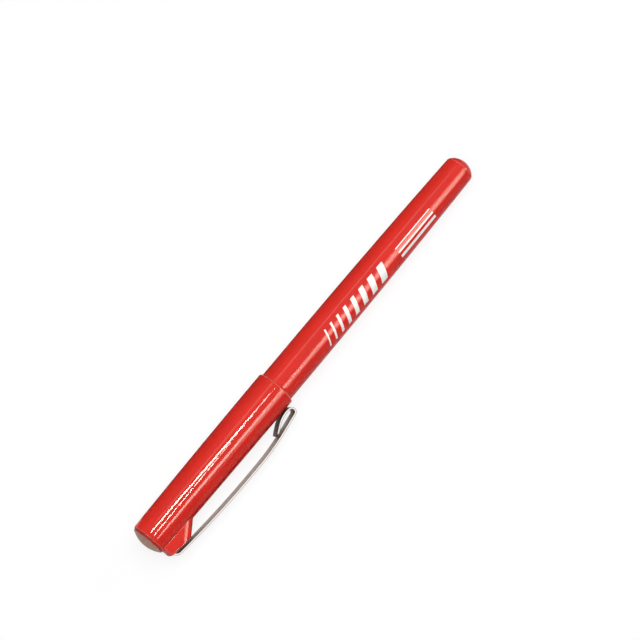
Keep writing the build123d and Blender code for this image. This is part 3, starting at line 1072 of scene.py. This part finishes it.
def add_lamp(name, place, out, along, size, level, soft, diffuse, glossy):
    """Rectangular lamp that faces away from out, where a level of 1 is as bright as a white card."""
    along = (along - out * along.dot(out)).normalized()
    data = bpy.data.lights.new(name, "AREA")
    data.shape = "RECTANGLE"
    data.size, data.size_y = size
    data.energy = level * math.pi * size[0] * size[1]
    if glossy:
        data.color = WARM_WHITE
    light = bpy.data.objects.new(name, data)
    turned = Matrix((along, out.cross(along), out)).transposed().to_4x4()
    light.matrix_world = Matrix.Translation(place) @ turned
    light.visible_camera = False
    light.visible_diffuse = diffuse
    light.visible_glossy = glossy
    soft_edges(data, soft)
    bpy.context.scene.collection.objects.link(light)


def add_stage():
    bpy.ops.mesh.primitive_plane_add(size=FLOOR_SIZE)
    floor = bpy.context.object
    floor.name = "floor"
    floor.data.materials.append(floor_paint())
    world = bpy.data.worlds.new("world")
    bpy.context.scene.world = world
    world.use_nodes = True
    tree = world.node_tree
    sky = tree.nodes["Background"]
    sky.inputs["Color"].default_value = (1, 1, 1, 1)
    way = add_node(tree, "ShaderNodeTexCoord").outputs["Generated"]
    height = add_node(tree, "ShaderNodeSeparateXYZ", Vector=way).outputs["Z"]
    overhead = mapped(tree, height, SKY_RIM, 1, *SKY_CLIMB)
    level = calculated(tree, "MAXIMUM", seen_share(tree, 1, overhead), WORLD_FILL)
    tree.links.new(level, sky.inputs["Strength"])
    bpy.context.scene.view_settings.view_transform = "Standard"


def add_dark_card():
    """Dark card on the floor away from the clip, seen only in reflections: it paints shade along that edge
    of the pen.
    """
    away = PEN.to_3x3() @ Vector((0, 1, 0))
    away.z = 0
    away.normalize()
    build = bmesh.new()
    corners = []
    near, far = CARD_REACH
    for x, reach in zip(CARD_RUN + CARD_RUN[::-1], (near, near, far, far)):
        corner = PEN @ Vector((x, 0, 0)) + away * reach
        corner.z = CARD_HEIGHT
        corners.append(build.verts.new(corner))
    build.faces.new(corners)
    card = bpy.data.objects.new("dark_card", finished_mesh("dark_card", build))
    card.data.materials.append(new_material("card_paint", CARD_COLOUR, roughness=0.9)[0])
    card.visible_camera = card.visible_diffuse = card.visible_shadow = False
    bpy.context.scene.collection.objects.link(card)


def add_lights():
    up, along = Vector((0, 0, 1)), Vector((1, 0, 0))
    over = PEN @ Vector((OVERHEAD_X, 0, 0)) + up * LAMP_DISTANCE
    add_lamp("overhead", over, up, along, OVERHEAD_SIZE, OVERHEAD_LEVEL, (0, 0), diffuse=True, glossy=False)
    tail = PEN @ Vector((tail_x, 0, 0))
    end_way = (PEN.to_3x3() @ Vector(TAIL_FILL_WAY)).normalized()
    add_lamp("tail_fill", tail + end_way * LAMP_DISTANCE, end_way, up, TAIL_FILL_SIZE, TAIL_FILL_LEVEL,
             (0, 0), diffuse=True, glossy=False)
    reflected_lamp("line_lamp", -4, 46, across=(-0.19, -0.025), width=0.035, level=95, soft=(0.05, 0.2))
    reflected_lamp("second_line_lamp", -4, 31, across=(0.08, 0.01), width=0.03, level=90, soft=(0.1, 0.2))
    reflected_lamp("cap_side_lamp", 0, 53, across=(0.28, 0.305), width=0.19, level=34, soft=(0.05, 1))
    reflected_lamp("barrel_side_lamp", 56, 170, across=(0.29, 0.335), width=0.46, level=24, soft=(0.05, 1))
    reflected_lamp("faint_lamp", 3, 133, across=(-0.28, -0.28), width=0.14, level=5, soft=(0.05, 1))


def shade_from_lamps(clip, barrel):
    """Leaves the clip out of the lamps seen as reflections, and the barrel out of the cap's two lines."""
    for light in bpy.context.scene.objects:
        if light.type != "LIGHT" or not light.visible_glossy:
            continue
        left_out = bpy.data.collections.new(light.name + "_left_out")
        left_out.objects.link(clip)
        if light.name in CAP_LINES:
            left_out.objects.link(barrel)
        for entry in left_out.collection_objects:
            entry.light_linking.link_state = "EXCLUDE"
        light.light_linking.receiver_collection = left_out


def add_cap():
    """Cap with its boss, end plug and disc. The clip on it is handed back."""
    cap_red = red_plastic("cap_red", PEN_RED, roughness=0.03, wave_height=0.017, grain_height=0.0)
    # End plug in a deeper red, as painted shade
    shaded_plug_red = red_plastic("shaded_plug_red", SHADED_PLUG_RED, roughness=0.2, wave_height=0.004, grain_height=0.0001)
    # Clip steel with painted shade on its inner face, hairpin and foot
    strip_steel = brushed_steel("strip_steel", STRIP_STEEL, roughness=0.2, stretch=(20, 1, 1),
                                shade_colours=SHADED_STEEL)
    add_piece(cap_body_mesh(), "cap", cap_red, "cap_plastic", "cap_shell")
    cut_slot(add_piece(boss_mesh(), "cap", cap_red, "cap_plastic"))
    add_piece(end_plug_mesh(), "cap", shaded_plug_red, "cap_plastic", "cap_end_plug")
    add_piece(end_disc_mesh(), "cap", stamped_metal("end_metal"), "disc_metal", "cap_end_disc")
    return add_piece(clip_mesh(), "clip", strip_steel, "clip_steel", "clip")


def add_barrel():
    """Barrel with its tail plug and print. The barrel is handed back."""
    body_red = red_plastic("body_red", PEN_RED, roughness=0.11, wave_height=0.015, grain_height=0.0001)
    white_print = plain_plastic("white_print", PRINT_WHITE, roughness=0.5, grain_height=0.0005)
    barrel = add_piece(barrel_mesh(), "barrel", body_red, "red_plastic", "barrel")
    add_piece(tail_plug_mesh(), "barrel", body_red, "red_plastic", "tail_plug")
    add_piece(print_mesh(), "barrel", white_print, None)
    return barrel


def add_front():
    """Pieces that show when the cap is off: grip, sleeve and nib, and the liner in the cap."""
    grip = plain_plastic("grip_black", GRIP_BLACK, roughness=0.45, grain_height=0.004)
    add_piece(grip_mesh(), "barrel", grip, "grip_plastic", "grip_section")
    tube_steel = brushed_steel("tube_steel", TUBE_STEEL, roughness=0.16, stretch=(1, 8, 8))
    add_piece(sleeve_mesh(), "barrel", tube_steel, "sleeve_steel", "nib_sleeve")
    stained = plain_plastic("stained_nib", NIB_RED, roughness=0.5, grain_height=0.003)
    add_piece(nib_mesh(), "barrel", stained, "nib_plastic", "nib")
    natural = plain_plastic("natural_plastic", NATURAL_PLASTIC, roughness=0.4, grain_height=0.002, soft=0.2)
    add_piece(liner_mesh(), "inner_cap", natural, "liner_plastic", "inner_cap")


def paint_inside():
    """Materials for the solids that stay, inside the barrel."""
    ink = fibre("ink_fibre_red", INK_RED)
    film = plain_plastic("clear_film", FILM_COLOUR, roughness=0.2, grain_height=0.001)
    for node, paint in (("ink_feed_rod", ink), ("ink_reservoir", ink), ("reservoir_film", film)):
        frame["nodes"][node].data.materials.clear()
        frame["nodes"][node].data.materials.append(paint)


add_camera()
add_stage()
add_dark_card()
add_lights()
clip_piece = add_cap()
barrel_piece = add_barrel()
shade_from_lamps(clip_piece, barrel_piece)
add_front()
paint_inside()
